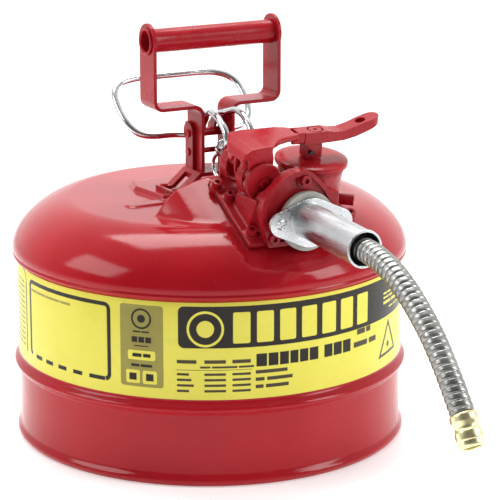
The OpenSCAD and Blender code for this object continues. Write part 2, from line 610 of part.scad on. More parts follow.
module vent_housing() color(RED) translate([stem_x, valve_y[1], 0]) housing_form(seat_z) {
    translate([0, 0, seat_z + 2]) cylinder(r = 5.6, h = roof_z - seat_z - 2);
    cylinder(r = 4.2, h = seat_z + 3);
    for (a = [0 : 60 : 300]) rotate([0, 0, a]) translate([4.2, 0, 150]) cylinder(r = 0.9, h = 10);
}
module valve_spring(y) {
    translate([stem_x, y, roof_z + 2.05]) rotate_extrude() polygon(concat(
        [for (i = [0 : 5], k = [0, 1, 2]) [5.2 - abs(k - 1) * 0.7, i * 3.1 + k * 1.2]],
        [[4.4, 18.8], [3.4, 18.8], [3.4, 0]]));
}
module pour_spring() color(ZINC) valve_spring(valve_y[0]);
module vent_spring() color(ZINC) valve_spring(valve_y[1]);
// Stem with a spring collar and a fork on top
module valve_stem(y) {
    translate([stem_x, y, 0]) difference() {
        union() {
            translate([0, 0, seat_z - 5]) cylinder(r = stem_r, h = 58);
            translate([0, 0, roof_z + 21]) cylinder(r = 5, h = 1.6);
            translate([-3.4, -3.8, 194.6]) cube([6.8, 7.6, 8.2]);
        }
        translate([-5, -1.6, 195.4]) cube([10, 3.2, 10]);
        translate([0, 0, pin_z]) rod_y(1.02, -8, 8);
    }
}
module pour_stem() color(ZINC) valve_stem(valve_y[0]);
module vent_stem() color(ZINC) valve_stem(valve_y[1]);
module pour_pin() color(ZINC) translate([stem_x, valve_y[0], pin_z]) rod_y(1, -4.4, 4.4);

module vent_pin() color(ZINC) translate([stem_x, valve_y[1], pin_z]) rod_y(1, -4.4, 4.4);
module disc_form(y, r) {
    translate([stem_x, y, seat_z - 4.02]) difference() {
        cylinder(r = r, h = 4);
        translate([0, 0, -1]) cylinder(r = stem_r + 0.01, h = 6);
    }
}
module pour_disc() color(DARK) disc_form(valve_y[0], 7.6);
module vent_disc() color(DARK) disc_form(valve_y[1], 5.2);
// Link: an eye round the trigger's hook, a C-shaped shank and a small eye on the stem's pin
module valve_link(y) {
    eye = [for (a = [-60 : 30 : 240])
        [hook_x - 1.6 + (a + 60) * 0.004, eye_r * cos(a), hook_z + eye_r * sin(a)]];
    p = concat([for (i = [len(eye) - 1 : -1 : 0]) eye[i]], [for (q = link_line) [q[0], 0, q[1]]]);
    translate([0, y, 0]) wire(curve(p, 2), link_r, 10, [1, 0, 0]);
}
module pour_link() color(ZINC) valve_link(valve_y[0]);
module vent_link() color(ZINC) valve_link(valve_y[1]);

// Duct below the dome, from the pouring valve's seat to the manifold
module pour_duct() color(RED) difference() {
    union() {
        translate([stem_x - 9, -17, seat_z]) cube([duct[0] - stem_x + 9, 17.2, roof_z - seat_z]);
        translate([duct[0], duct[1], seat_z]) cylinder(r = duct[2], h = 36);
    }
    translate([stem_x - 7.5, -15.5, seat_z + 1.5]) cube([duct[0] - stem_x + 6, 14.2, roof_z - seat_z - 3]);
    translate([duct[0], duct[1], seat_z + 1.5]) cylinder(r = duct[2] - 1.5, h = 60);
    translate([stem_x, valve_y[0], seat_z - 1]) cylinder(r = 6.4, h = 4);
    translate([stem_x, valve_y[0], seat_z - 1]) cylinder(r = stem_r + 0.3, h = 30);
}
module cup_form(y, r) {
    translate([stem_x, y, 0]) difference() {
        translate([0, 0, 118]) cylinder(r = r, h = seat_z - 0.05 - 118);
        translate([0, 0, 118.8]) cylinder(r = r - 0.8, h = 40);
        for (z = [122, 129], a = [0 : 45 : 135])
            translate([0, 0, z]) rotate([0, 0, a]) rod_x(1.6, -20, 20);
    }
}
module pour_screen() color(ZINC) cup_form(valve_y[0], 9.2);
module vent_screen() color(ZINC) cup_form(valve_y[1], 6.7);

body_shell();
bottom_plate();
top_shell();
label_band();
strap_near();
strap_far();
grip_tube();
handle_bracket();
cross_rod();
foot_rivets();
pivot_rod();
trigger_wire();
trigger_sleeve();
manifold_body();
manifold_gasket();
manifold_bolts();
outlet_flange();
outlet_bolts();
outlet_spacer();
barrel();
barrel_screws();
hose_ferrule();
hose();
nozzle_tip();
hinge_pin();
rear_spring();
front_spring();
hinge_bush();
cap_yoke();
fill_lever();
lever_rivet();
cap_stem();
stem_pin();
fill_cap();
cap_gasket();
fill_screen();
neck_plug();
gland_plate();
gland_screws();
pour_housing();
vent_housing();
pour_spring();
vent_spring();
pour_stem();
vent_stem();
pour_pin();
vent_pin();
pour_disc();
vent_disc();
pour_link();
vent_link();
pour_duct();
pour_screen();
vent_screen();
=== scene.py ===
"""Looks of a safety gas can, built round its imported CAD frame. Metres; +X pours, +Z is up."""
import math

import bmesh
import bpy
import numpy as np
from mathutils import Matrix, Vector


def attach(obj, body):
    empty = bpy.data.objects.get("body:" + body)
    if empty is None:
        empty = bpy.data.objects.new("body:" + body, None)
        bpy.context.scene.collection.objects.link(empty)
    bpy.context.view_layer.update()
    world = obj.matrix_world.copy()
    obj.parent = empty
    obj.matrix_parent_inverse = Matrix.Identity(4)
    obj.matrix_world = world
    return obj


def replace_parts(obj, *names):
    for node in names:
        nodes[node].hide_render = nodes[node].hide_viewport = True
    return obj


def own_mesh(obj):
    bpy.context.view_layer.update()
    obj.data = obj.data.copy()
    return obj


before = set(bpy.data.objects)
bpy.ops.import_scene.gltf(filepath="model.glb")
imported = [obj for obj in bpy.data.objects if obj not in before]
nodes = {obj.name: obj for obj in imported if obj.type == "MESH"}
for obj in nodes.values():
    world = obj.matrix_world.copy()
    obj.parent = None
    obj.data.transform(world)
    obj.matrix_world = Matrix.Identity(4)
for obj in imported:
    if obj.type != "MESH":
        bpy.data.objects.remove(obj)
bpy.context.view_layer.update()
MM = 0.001
TAU = 2 * math.pi

# ---- Camera ---------------------------------------------------------------------------
scene = bpy.context.scene
scene.view_settings.view_transform = "Standard"
cam = bpy.data.objects.new("camera", bpy.data.cameras.new("camera"))
scene.collection.objects.link(cam)
cam.location = (1.5595, -0.7946, 0.5910)
cam.rotation_mode = "QUATERNION"
cam.rotation_quaternion = Vector((-0.8547, 0.4545, -0.2511)).to_track_quat("-Z", "Y")
cam.data.lens = 171.6
cam.data.sensor_width = 36
scene.camera = cam


# ---- Mesh helpers -----------------------------------------------------------------------
def add_mesh(name, verts, faces, mat, body):
    """Smooth-shaded mesh with one material that moves with body."""
    me = bpy.data.meshes.new(name)
    me.from_pydata([tuple(map(float, v)) for v in verts], [], faces)
    me.materials.append(mat)
    me.polygons.foreach_set("use_smooth", [True] * len(me.polygons))
    me.validate()
    me.update()
    ob = bpy.data.objects.new(name, me)
    scene.collection.objects.link(ob)
    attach(ob, body)
    return ob


def grid_faces(rows, cols, closed_u=True, closed_v=False, flip=False):
    """Quads over rows of cols points each; u runs along a row, v from row to row."""
    out = []
    for i in range(rows if closed_v else rows - 1):
        for k in range(cols if closed_u else cols - 1):
            a = i * cols + k
            b = i * cols + (k + 1) % cols
            c = ((i + 1) % rows) * cols + (k + 1) % cols
            d = ((i + 1) % rows) * cols + k
            out.append((a, d, c, b) if flip else (a, b, c, d))
    return out


def turned(origin, axis, across):
    """Frame whose x is axis and y is near across, at origin: maps local metres to the part."""
    x = Vector(axis).normalized()
    z = x.cross(Vector(across)).normalized()
    y = z.cross(x)
    return Matrix(((x[0], y[0], z[0], origin[0]), (x[1], y[1], z[1], origin[1]),
                   (x[2], y[2], z[2], origin[2]), (0, 0, 0, 1)))


def lathe(name, profile, steps, place, mat, body, bump=None):
    """Turns a closed profile, (along, radius) in mm, round the x axis of place."""
    prof = np.array(profile, float) * MM
    a = np.arange(steps) * TAU / steps
    verts = []
    for i, (x, r) in enumerate(prof):
        rr = np.full(steps, r)
        if bump is not None:
            rr = rr + bump(i, a) * MM
        verts.append(np.stack([np.full(steps, x), rr * np.cos(a), rr * np.sin(a)], 1))
    v = np.concatenate(verts)
    m = np.array(place)
    v = v @ m[:3, :3].T + m[:3, 3]
    return add_mesh(name, v, grid_faces(len(prof), steps, True, True, flip=True), mat, body)


def round_profile(points, r, n=4):
    """Closed profile with each corner rounded to radius r (mm)."""
    pts = [Vector(p) for p in points]
    out = []
    for i, b in enumerate(pts):
        a, c = pts[i - 1], pts[(i + 1) % len(pts)]
        da, dc = a - b, c - b
        ang = da.angle(dc)
        if ang > math.radians(168):
            out.append(tuple(b))
            continue
        cut = min(r / math.tan(ang / 2), da.length * 0.45, dc.length * 0.45)
        p, q = b + da.normalized() * cut, b + dc.normalized() * cut
        for k in range(n + 1):
            t = k / n
            out.append(tuple(p * (1 - t) ** 2 + b * 2 * t * (1 - t) + q * t * t))
    return out


def catmull(p, n):
    """Smooth curve through the points p, with n steps between each two."""
    p = [np.array(q, float) for q in p]
    out = []
    for i in range(len(p) - 1):
        a, b, c, d = p[max(0, i - 1)], p[i], p[i + 1], p[min(len(p) - 1, i + 2)]
        for k in range(n):
            t = k / n
            out.append(0.5 * (2 * b + (c - a) * t + (2 * a - 5 * b + 4 * c - d) * t * t
                              + (3 * b - a - 3 * c + d) * t ** 3))
    out.append(p[-1])
    return np.array(out)


def sweep(path, radius, sides, across=(0, 1, 0), shape=None):
    """Round tube along path (metres). shape(s, angle) gives the radius at length s."""
    p = np.array(path, float)
    t = np.empty_like(p)
    t[1:-1] = p[2:] - p[:-2]
    t[0], t[-1] = p[1] - p[0], p[-1] - p[-2]
    t /= np.linalg.norm(t, axis=1)[:, None]
    s = np.concatenate([[0], np.cumsum(np.linalg.norm(np.diff(p, axis=0), axis=1))])
    u = np.array(across, float)
    a = np.arange(sides) * TAU / sides
    rings = []
    for i in range(len(p)):
        u = u - (u @ t[i]) * t[i]
        u /= np.linalg.norm(u)
        w = np.cross(t[i], u)
        r = radius if shape is None else shape(s[i], a)
        r = np.broadcast_to(r, (sides,))
        rings.append(p[i] + r[:, None] * (np.cos(a)[:, None] * u + np.sin(a)[:, None] * w))
    v = np.concatenate(rings)
    f = grid_faces(len(p), sides, True, False)
    f.append(tuple(range(sides - 1, -1, -1)))
    f.append(tuple((len(p) - 1) * sides + k for k in range(sides)))
    return v, f


# ---- Materials --------------------------------------------------------------------------
class Nodes:
    """Short way to write a node tree."""

    def __init__(self, name):
        self.mat = bpy.data.materials.new(name)
        self.mat.use_nodes = True
        self.tree = self.mat.node_tree
        self.bsdf = self.tree.nodes["Principled BSDF"]
        self.coord = self.tree.nodes.new("ShaderNodeTexCoord").outputs["Object"]

    def new(self, kind, **settings):
        n = self.tree.nodes.new("ShaderNode" + kind)
        for k, v in settings.items():
            if hasattr(n, k):
                setattr(n, k, v)
            else:
                n.inputs[k].default_value = v
        return n

    def link(self, a, b):
        self.tree.links.new(a, b)

    def noise(self, scale, detail=3, rough=0.5, stretch=None):
        n = self.new("TexNoise")
        n.inputs["Scale"].default_value = scale
        n.inputs["Detail"].default_value = detail
        n.inputs["Roughness"].default_value = rough
        src = self.coord
        if stretch is not None:
            m = self.new("Mapping")
            m.inputs["Scale"].default_value = stretch
            self.link(src, m.inputs["Vector"])
            src = m.outputs["Vector"]
        self.link(src, n.inputs["Vector"])
        return n.outputs["Fac"]

    def ramp(self, fac, stops):
        r = self.new("ValToRGB")
        e = r.color_ramp.elements
        while len(e) < len(stops):
            e.new(0.5)
        for k, (pos, col) in enumerate(stops):
            e[k].position = pos
            e[k].color = (col, col, col, 1) if isinstance(col, (int, float)) else (*col, 1)
        self.link(fac, r.inputs["Fac"])
        return r.outputs["Color"]

    def mix(self, fac, a, b):
        m = self.new("Mix", data_type="RGBA")
        for sock, v in ((m.inputs[0], fac), (m.inputs[6], a), (m.inputs[7], b)):
            if hasattr(v, "is_linked"):
                self.link(v, sock)
            else:
                sock.default_value = v if not isinstance(v, tuple) else (*v, 1)
        return m.outputs[2]

    def bump(self, height, strength, distance, after=None):
        b = self.new("Bump")
        b.inputs["Strength"].default_value = strength
        b.inputs["Distance"].default_value = distance
        self.link(height, b.inputs["Height"])
        if after is not None:
            self.link(after, b.inputs["Normal"])
        return b.outputs["Normal"]

    def finish(self, color=None, rough=None, normal=None, **fixed):
        for key, value in (("Base Color", color), ("Roughness", rough), ("Normal", normal)):
            if value is None:
                continue
            if hasattr(value, "is_linked"):
                self.link(value, self.bsdf.inputs[key])
            else:
                self.bsdf.inputs[key].default_value = (*value, 1) if isinstance(value, tuple) else value
        for k, v in fixed.items():
            self.bsdf.inputs[k.replace("_", " ")].default_value = v
        return self.mat


def paint(name, rough=0.13, peel=0.05, deep=(0.34, 0.005, 0.011), light=(0.43, 0.009, 0.017)):
    m = Nodes(name)
    base = m.ramp(m.noise(9, 4, 0.55), [(0.3, deep), (0.7, light)])
    specks = m.ramp(m.noise(420, 2, 0.5), [(0.72, 0.0), (0.80, 1.0)])
    color = m.mix(specks, base, (0.50, 0.03, 0.04))
    worn = m.ramp(m.noise(60, 6, 0.65), [(0.35, rough * 0.8), (0.7, rough * 1.35)])
    n1 = m.bump(m.noise(260, 2, 0.5), peel, 0.0006)
    n2 = m.bump(m.noise(24, 3, 0.5), peel * 0.9, 0.004, n1)
    return m.finish(color, worn, n2, Specular_IOR_Level=0.25)


def cast_paint(name):
    m = Nodes(name)
    base = m.ramp(m.noise(30, 5, 0.6), [(0.3, (0.27, 0.004, 0.010)), (0.72, (0.39, 0.009, 0.017))])
    pits = m.ramp(m.noise(520, 3, 0.6), [(0.62, 0.0), (0.74, 1.0)])
    color = m.mix(pits, base, (0.22, 0.004, 0.008))
    worn = m.ramp(m.noise(110, 5, 0.6), [(0.3, 0.2), (0.7, 0.42)])
    n1 = m.bump(m.noise(340, 4, 0.6), 0.28, 0.0007)
    n2 = m.bump(m.noise(70, 3, 0.5), 0.18, 0.003, n1)
    return m.finish(color, worn, n2, Specular_IOR_Level=0.3)


def metal(name, base, dark, rough, streak, stretch, scale=120, strength=0.12, spots=None):
    m = Nodes(name)
    lines = m.noise(scale, 4, 0.6, stretch)
    color = m.ramp(m.noise(40, 5, 0.6), [(0.3, dark), (0.68, base)])
    if spots is not None:
        color = m.mix(m.ramp(m.noise(300, 4, 0.6), [(0.6, 0.0), (0.72, 1.0)]), color, spots)
    worn = m.ramp(lines, [(0.3, rough * 0.75), (0.7, rough * streak)])
    n = m.bump(lines, strength, 0.0004)
    return m.finish(color, worn, n, Metallic=1.0)


RED = paint("red_paint_gloss")
RED_TUBE = paint("red_paint_hardware", 0.24, 0.09, (0.31, 0.005, 0.011), (0.41, 0.009, 0.017))
RED_CAST = cast_paint("red_paint_cast")
ZINC = metal("zinc_plate", (0.74, 0.75, 0.76), (0.56, 0.58, 0.60), 0.24, 1.5, (1, 1, 1), 90, 0.10)
ZINC_TUBE = metal("zinc_tube", (0.64, 0.655, 0.665), (0.46, 0.475, 0.49), 0.27, 1.5, (0.06, 1, 1), 420, 0.30)
WIRE = metal("zinc_wire", (0.70, 0.71, 0.72), (0.50, 0.52, 0.54), 0.14, 1.6, (1, 1, 1), 160, 0.08)
HOSE_STEEL = metal("hose_steel", (0.38, 0.38, 0.365), (0.24, 0.24, 0.225), 0.32, 1.4, (1, 1, 1), 240, 0.16,
                   (0.26, 0.25, 0.22))
BRASS = metal("brass_turned", (0.92, 0.86, 0.52), (0.78, 0.70, 0.38), 0.28, 1.4, (0.1, 1, 1), 260, 0.12)
DARK = metal("black_steel", (0.06, 0.06, 0.06), (0.03, 0.03, 0.03), 0.35, 1.5, (1, 1, 1), 160, 0.12)


def rubber(name, lo, hi, rough):
    m = Nodes(name)
    color = m.ramp(m.noise(80, 5, 0.6), [(0.3, lo), (0.7, hi)])
    n = m.bump(m.noise(700, 3, 0.6), 0.25, 0.0004)
    return m.finish(color, m.ramp(m.noise(150, 4), [(0.3, rough * 0.85), (0.7, rough)]), n)


RUBBER = rubber("seal_rubber", (0.012, 0.012, 0.012), (0.03, 0.03, 0.03), 0.7)
FIBRE = rubber("grey_fibre", (0.36, 0.36, 0.32), (0.50, 0.50, 0.45), 0.8)


def film(name, lo, hi, rough=0.3):
    """Printed film under a clear layer: faint ink mottle and a slight ripple of the film."""
    m = Nodes(name)
    color = m.ramp(m.noise(26, 6, 0.6), [(0.25, lo), (0.75, hi)])
    grain = m.mix(m.ramp(m.noise(900, 2), [(0.66, 0.0), (0.8, 0.5)]), color, hi)
    n = m.bump(m.noise(30, 2, 0.4), 0.06, 0.002)
    return m.finish(grain, m.ramp(m.noise(45, 4), [(0.3, rough * 0.8), (0.7, rough * 1.2)]), n,
                    Specular_IOR_Level=0.2)


YELLOW = film("film_yellow", (0.72, 0.655, 0.085), (0.78, 0.715, 0.11))
INK = film("film_black", (0.014, 0.011, 0.008), (0.026, 0.021, 0.016), 0.26)
KHAKI = film("film_khaki", (0.27, 0.235, 0.055), (0.33, 0.285, 0.07))
LINES = film("film_line", (0.050, 0.038, 0.020), (0.085, 0.066, 0.034))

# ---- Hose: the free cord, on the points of the CAD route ---------------------------------
HOSE_ROUTE = [
    [161, 10, 187.3], [173, 10, 186.8], [186, 10, 186.2], [200, 10, 185.6], [214, 10, 184.8],
    [228, 10, 183.2], [241, 10, 180.2], [252, 10, 176.6], [262, 10, 172], [272, 10, 166.4],
    [282, 10, 159.9], [292, 10, 152.6], [301, 10, 145.2], [309, 10, 137.6], [317, 10, 129],
    [324.2, 10, 120.8], [331, 10, 112.6], [337.4, 10, 104.6]]
NOZZLE_DIP = math.radians(56)
PITCH = 0.0050


def resample(points, step):
    p = np.array(points, float)
    s = np.concatenate([[0], np.cumsum(np.linalg.norm(np.diff(p, axis=0), axis=1))])
    n = int(round(s[-1] / step))
    q = np.linspace(0, s[-1], n + 1)
    return np.stack([np.interp(q, s, p[:, i]) for i in range(3)], 1), s[-1]


route, hose_len = resample(catmull(HOSE_ROUTE, 24) * MM, 0.00042)


def strip(s, a):
    """Radius of the wound strip: a wide rounded turn with a fine line on it, then a deep narrow gap."""
    t = (s / PITCH + a / TAU) % 1.0
    crown = 0.00825 + 0.00025 * np.sin(np.clip(t / 0.8, 0, 1) * math.pi) ** 0.7
    line = np.exp(-((t - 0.30) / 0.035) ** 2) * 0.00016
    gap = np.exp(-(((t - 0.88) / 0.055) ** 4)) * 0.00085
    return crown - line - gap


v, f = sweep(route, 0.0085, 40, (0, 1, 0), strip)
hose = add_mesh("flexible_hose", v, f, HOSE_STEEL, "can")
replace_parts(hose, "hose")

end = Vector(HOSE_ROUTE[-1]) * MM
aim = (math.cos(NOZZLE_DIP), 0, -math.sin(NOZZLE_DIP))
tip_prof = round_profile([
    (0.3, 5.5), (0.3, 8.2), (1.2, 9.1), (2.2, 9.4), (5.6, 9.5), (6.6, 9.2), (8.2, 8.5), (9.6, 8.1),
    (10.8, 8.15), (11.8, 8.6), (12.8, 9.2), (14, 9.35), (17.8, 9.35), (18.6, 9.1), (18.9, 8.75),
    (19.6, 8.7), (21.6, 8.55), (22.6, 8.2), (23.5, 7.6), (23.6, 6.9), (22.8, 6.5), (6.2, 6.4),
    (6.0, 5.5)], 0.35, 3)


def knurl(i, a):
    """Fine ribs round the outside of the nozzle's collar."""
    along, r = tip_prof[i]
    return 0.05 * np.cos(48 * a) if r > 8 and 2 < along < 6 else 0 * a


nozzle = lathe("brass_nozzle", tip_prof, 96, turned(end, aim, (0, 1, 0)), BRASS, "can", bump=knurl)
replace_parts(nozzle, "nozzle_tip")

# ---- Tank -------------------------------------------------------------------------------
PLATFORM = [(37, 0), (49, 3.2), (61, 7.8), (70, 17.8), (74, 22.8), (78, 34), (90, 90)]


def smax(a, b, k):
    """The larger of a and b, blended over k."""
    h = np.clip(0.5 + 0.5 * (a - b) / k, 0, 1)
    return b * (1 - h) + a * h + k * h * (1 - h)


def smin(a, b, k):
    return -smax(-a, -b, k)


def dome_z(r):
    t = np.clip((r - 105) / 44, 0, 1)
    return 145 + 35.6 * np.power(np.maximum(0, 1 - t ** 1.65), 1 / 1.65) + 1.6 * (1 - (r / 149) ** 2)


def in_polygon(x, y, pts):
    """Signed distance (inside positive) to a convex polygon, counter-clockwise, in mm."""
    d = np.full(np.shape(x), 1e9)
    for i in range(len(pts)):
        (x0, y0), (x1, y1) = pts[i], pts[(i + 1) % len(pts)]
        n = math.hypot(x1 - x0, y1 - y0)
        d = np.minimum(d, ((x1 - x0) * (y - y0) - (y1 - y0) * (x - x0)) / n)
    return d


PAD = [(-51, -42), (-31, -48), (8, -43), (14, -36), (14, 44), (8, 51), (-31, 56), (-51, 50)]


def top_z(x, y):
    """Height of the tank's top in mm: dome, pad under the handle, sloping hood and small rest."""
    z = dome_z(np.hypot(x, y))
    d = in_polygon(x, y, PAD)
    pad = smin(185.5 + 0 * x, 185.5 + (d - 1.0) * 2.6, 1.0)
    z = smax(z, pad, 0.9)
    q = np.abs(y - 8)
    side = np.zeros_like(q)
    xs, ys = [p[0] for p in PLATFORM], [p[1] for p in PLATFORM]
    for off in (-2.4, -1.2, 0, 1.2, 2.4):
        side += np.interp(np.abs(q + off), xs, ys) / 5
    plane = 199.5 - 0.552 * (x - 65)
    z = smin(z, plane + 6 * np.maximum(0, np.maximum(-38 - y, y - 63)) + 400 * (x < 80), 1.5)
    plat = plane - side
    plat = smin(plat, plane + 8.0 * (x - 50.5), 2.0)
    plat = smin(plat, 400 - (np.maximum(0, x - 118)) * 30, 2)
    z = smax(z, plat, 3.0)
    e = 6.2 - np.hypot(x - 12.5, np.maximum(0, np.abs(y + 56) - 13))
    return z + 1.2 * np.clip((e + 0.6) / 1.1, 0, 1)


steps = 360
a = np.arange(steps) * TAU / steps
shoulder = 105 + 43.6 * np.sin(np.linspace(0, 1, 38) * math.pi / 2)
radii = np.concatenate([np.linspace(2, 104, 92), shoulder])
rings = []
for r in radii:
    x, y = r * np.cos(a), r * np.sin(a)
    rings.append(np.stack([x, y, top_z(x, y)], 1))
skirt = [(148.9, 146.5), (149, 145), (148.95, 143.6), (148.5, 142.9), (148.3, 142.4), (148.5, 141.9),
         (148.95, 141.2), (149, 140.2), (148.7, 139.4), (148.1, 139.05), (147.9, 139.3), (147.9, 143)]
for r, z in skirt:
    rings.append(np.stack([r * np.cos(a), r * np.sin(a), np.full(steps, z)], 1))
v = np.concatenate(rings)
f = grid_faces(len(rings), steps, True, False, flip=True)
v = np.concatenate([v, [[0, 0, float(top_z(np.zeros(1), np.zeros(1))[0])]]])
f += [(len(v) - 1, k, (k + 1) % steps) for k in range(steps)]
f = [tuple(reversed(q)) if len(q) == 4 else q for q in f]
top = add_mesh("tank_top", v * MM, f, RED, "can")
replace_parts(top, "top_shell")


def bell(z, c, w, h):
    return np.where(np.abs(z - c) < w, h * (1 + np.cos(math.pi * (z - c) / w)) / 2, 0)


def wall_r(z):
    z = np.asarray(z, float)
    return 145 + bell(z, 58, 6, 4) + bell(z, 4.4, 5.2, 2.6)


FOOT_EASE = {0.0: 1.6, 0.25: 0.55, 0.6: 0.15}   # how far the wall's foot is rolled in at these heights
zs = np.concatenate([list(FOOT_EASE), np.linspace(1.1, 11.5, 22), np.linspace(14, 50, 8),
                     np.linspace(51, 65, 40), np.linspace(68, 136, 8)])
prof = [(z, float(wall_r(z)) - FOOT_EASE.get(z, 0)) for z in zs]
prof += [(136.9, 145.05), (137.7, 145.7), (138.4, 146.8), (139.2, 147.6), (139.9, 147.85),
         (143.8, 147.85), (144.6, 147)]
inner = [(z, r - 1.05) for z, r in prof if z > 1][::-1] + [(0.6, 143.2), (0.15, 142.9)]
up = turned((0, 0, 0), (0, 0, 1), (1, 0, 0))
wall = lathe("tank_wall", prof + inner, 288, up, RED, "can")
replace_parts(wall, "body_shell")

# ---- Label: printed film on the wall, as thin layers of ink --------------------------------
BAND_R = 145.4                 # the radius, in mm, that arcs on the band are measured at
DEG = 1 / (math.radians(1) * BAND_R)   # degrees of the band in one mm of arc
ON_BAND, ON_PANEL, ON_INK, ON_TOP = 145.42, 145.47, 145.48, 145.53   # radii of the ink layers
SHEET_R = 0.1454               # the flat sheet's scale in skin(), in metres


def skin(r, polys, name, mat):
    """Flat shapes given as (degrees, mm) outlines, laid on a cylinder of radius r mm."""
    bm = bmesh.new()
    for poly in polys:
        vs = [bm.verts.new((q[0] * math.radians(1) * SHEET_R, q[1] * MM, 0)) for q in poly]
        try:
            bm.faces.new(vs)
        except ValueError:
            continue
    bmesh.ops.triangulate(bm, faces=bm.faces[:])
    step = math.radians(2.0) * SHEET_R
    lo = min(w.co.x for w in bm.verts)
    hi = max(w.co.x for w in bm.verts)
    x = math.floor(lo / step) * step
    while x < hi:
        bmesh.ops.bisect_plane(bm, geom=bm.verts[:] + bm.edges[:] + bm.faces[:], dist=1e-7,
                               plane_co=(x, 0, 0), plane_no=(1, 0, 0))
        x += step
    verts, faces = [], []
    for w in bm.verts:
        t = w.co.x / SHEET_R
        verts.append((r * MM * math.cos(t), r * MM * math.sin(t), w.co.y))
    bm.verts.index_update()
    for fc in bm.faces:
        idx = [w.index for w in fc.verts]
        n = fc.normal
        faces.append(tuple(idx) if n.z > 0 else tuple(reversed(idx)))
    bm.free()
    return add_mesh(name, verts, faces, mat, "can")


def box2(x0, z0, x1, z1):
    return [(x0, z0), (x1, z0), (x1, z1), (x0, z1)]


def soft_box(x0, z0, x1, z1, r, n=6):
    """Rounded rectangle; r in mm."""
    w = r * DEG
    out = []
    for cx, cz, a0 in ((x1 - w, z0 + r, -90), (x1 - w, z1 - r, 0),
                       (x0 + w, z1 - r, 90), (x0 + w, z0 + r, 180)):
        for i in range(n + 1):
            t = math.radians(a0 + 90 * i / n)
            out.append((cx + w * math.cos(t), cz + r * math.sin(t)))
    return out


def ring(cx, cz, r0, r1, n=48, part=(0, 360)):
    out = []
    t0, t1 = map(math.radians, part)
    for i in range(n):
        p, q = t0 + (t1 - t0) * i / n, t0 + (t1 - t0) * (i + 1) / n
        out.append([(cx + r * DEG * math.cos(t), cz + r * math.sin(t))
                    for r, t in ((r0, p), (r1, p), (r1, q), (r0, q))])
    return out


def disc(cx, cz, r, n=40):
    return [(cx + r * DEG * math.cos(TAU * i / n), cz + r * math.sin(TAU * i / n)) for i in range(n)]


def bars(x0, x1, z, h, cuts):
    """A row of blocks between x0 and x1 that stands for words; cuts are the shares of each."""
    total = sum(abs(c) for c in cuts)
    out, x = [], x0
    for c in cuts:
        w = (x1 - x0) * abs(c) / total
        if c > 0:
            out.append(box2(x, z - h / 2, x + w, z + h / 2))
        x += w
    return out


band_prof = round_profile([(65, 145.06), (65, 145.36), (136.5, 145.36), (136.5, 145.06)], 0.12, 2)
cols = 340
th = np.radians(np.linspace(-178, 178, cols))
rows = len(band_prof)
v = np.concatenate([np.stack([r * np.cos(th), r * np.sin(th), np.full(cols, z)], 1) for z, r in band_prof])
f = grid_faces(rows, cols, False, True, flip=True)
f.append(tuple(i * cols for i in range(rows)))
f.append(tuple(i * cols + cols - 1 for i in reversed(range(rows))))
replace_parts(add_mesh("label_band_film", v * MM, f, YELLOW, "can"), "label_band")

# black banner with a ring and dot, and a row of plain blocks where a name would be
skin(ON_BAND, [soft_box(-35.9, 103.2, 66, 133.7, 4.2)], "print_banner", INK)
skin(ON_INK, ring(-28.3, 117.2, 11.4, 13.2) + [disc(-28.3, 117.2, 6.2)], "print_ring_dot", YELLOW)
blocks = []
for n in range(7):
    x = -20.6 + 6.75 * n
    blocks.append(soft_box(x, 106.4, x + 4.9, 129.2, 1.2, 3))
skin(ON_INK, blocks, "print_blocks", YELLOW)
small = bars(34, 42.5, 121.5, 1.5, [3, -0.6, 4, -0.6, 3]) \
    + bars(34, 44.5, 118.2, 1.5, [4, -0.6, 3, -0.6, 4]) \
    + bars(34, 46, 114.4, 2.2, [5, -0.6, 6]) + bars(38, 47, 109.6, 1.1, [4, -0.7, 3, -0.7, 3])
skin(ON_INK, small, "print_banner_small", YELLOW)

ink = bars(-14.0, 17.2, 93.2, 9.4,
           [3.2, -0.5, 3.0, -0.5, 2.8, -0.5, 2.6, -0.5, 2.8, -0.5, 3.0, -2.2, 3.0, -0.5, 3.2, -0.5, 3.2])
skin(ON_BAND, ink, "print_heading", INK)
text = []
for z, x1, cuts in ((84.6, -4.8, [9]), (79.2, -3.2, [2, -0.6, 6]), (73.8, -4.4, [2, -0.6, 6])):
    text += bars(-14.2, x1, z, 2.6, cuts)
for z, x0, x1 in ((103.4, 20.0, 26.4), (94.2, 18.6, 29.4)):
    text += bars(x0, x1, z - 2.5, 4.0, [4, -0.6, 2.4])
for c, (x0, x1) in enumerate(((-36.3, -30.8), (-28.6, -22.6), (-20.8, -15.6))):
    text += bars(x0, x1, 93.2, 2.6, [1])
    if c:
        text += bars(x0 - 1.2, x1 + 0.9, 89.2, 1.5, [3, -0.5, 5])
    for k, z in enumerate((83.9, 79.8, 75.7, 71.6)):
        w = (x1 - x0) * (0.62 + 0.12 * (k % 3))
        text += bars(x0, x0 + w if c == 0 else x1, z, 1.8, [1])
text += [box2(-36.6, 86.9, -15.2, 87.25)]
skin(ON_BAND, text, "print_small_text", LINES)

tri = [(37.7, 100.6), (31.3, 73.2), (43.9, 74.4)]
c = (sum(p[0] for p in tri) / 3, sum(p[1] for p in tri) / 3)
inn = [(c[0] + (p[0] - c[0]) * 0.76, c[1] + (p[1] - c[1]) * 0.76) for p in tri]
edge = [[tri[i], tri[(i + 1) % 3], inn[(i + 1) % 3], inn[i]] for i in range(3)]
skin(ON_BAND, edge + [disc(37.6, 81.5, 2.2, 24)], "print_triangle", LINES)

